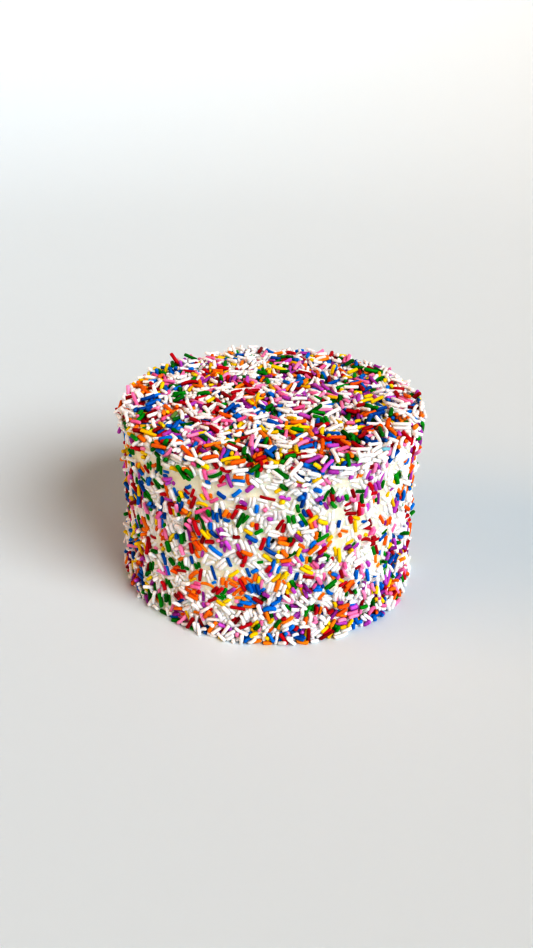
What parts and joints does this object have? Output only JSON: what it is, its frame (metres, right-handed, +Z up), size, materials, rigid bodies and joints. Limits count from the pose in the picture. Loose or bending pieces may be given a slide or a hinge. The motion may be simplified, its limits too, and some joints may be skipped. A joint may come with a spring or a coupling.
{
  "type": "sprinkle cake",
  "caption": "Tall round birthday cake in pale buttercream, coated on its top, rim and side in rod-shaped rainbow sugar sprinkles.",
  "frame": {"origin": "middle of the flat base that the cake rests on", "axes": "+Z up along the cake's height; -Y towards the viewer of the picture and +X to the right"},
  "size_m": [0.1546, 0.1548, 0.0981],
  "materials": {
    "buttercream": "soft satin buttercream icing",
    "sprinkle_white": "smooth satin sugar",
    "sprinkle_red": "smooth satin sugar",
    "sprinkle_orange": "smooth satin sugar",
    "sprinkle_yellow": "smooth satin sugar",
    "sprinkle_green": "smooth satin sugar",
    "sprinkle_blue": "smooth satin sugar",
    "sprinkle_purple": "smooth satin sugar",
    "sprinkle_pink": "smooth satin sugar"
  },
  "bodies": {
    "root": {"cake": "buttercream"}
  },
  "joints": []
}
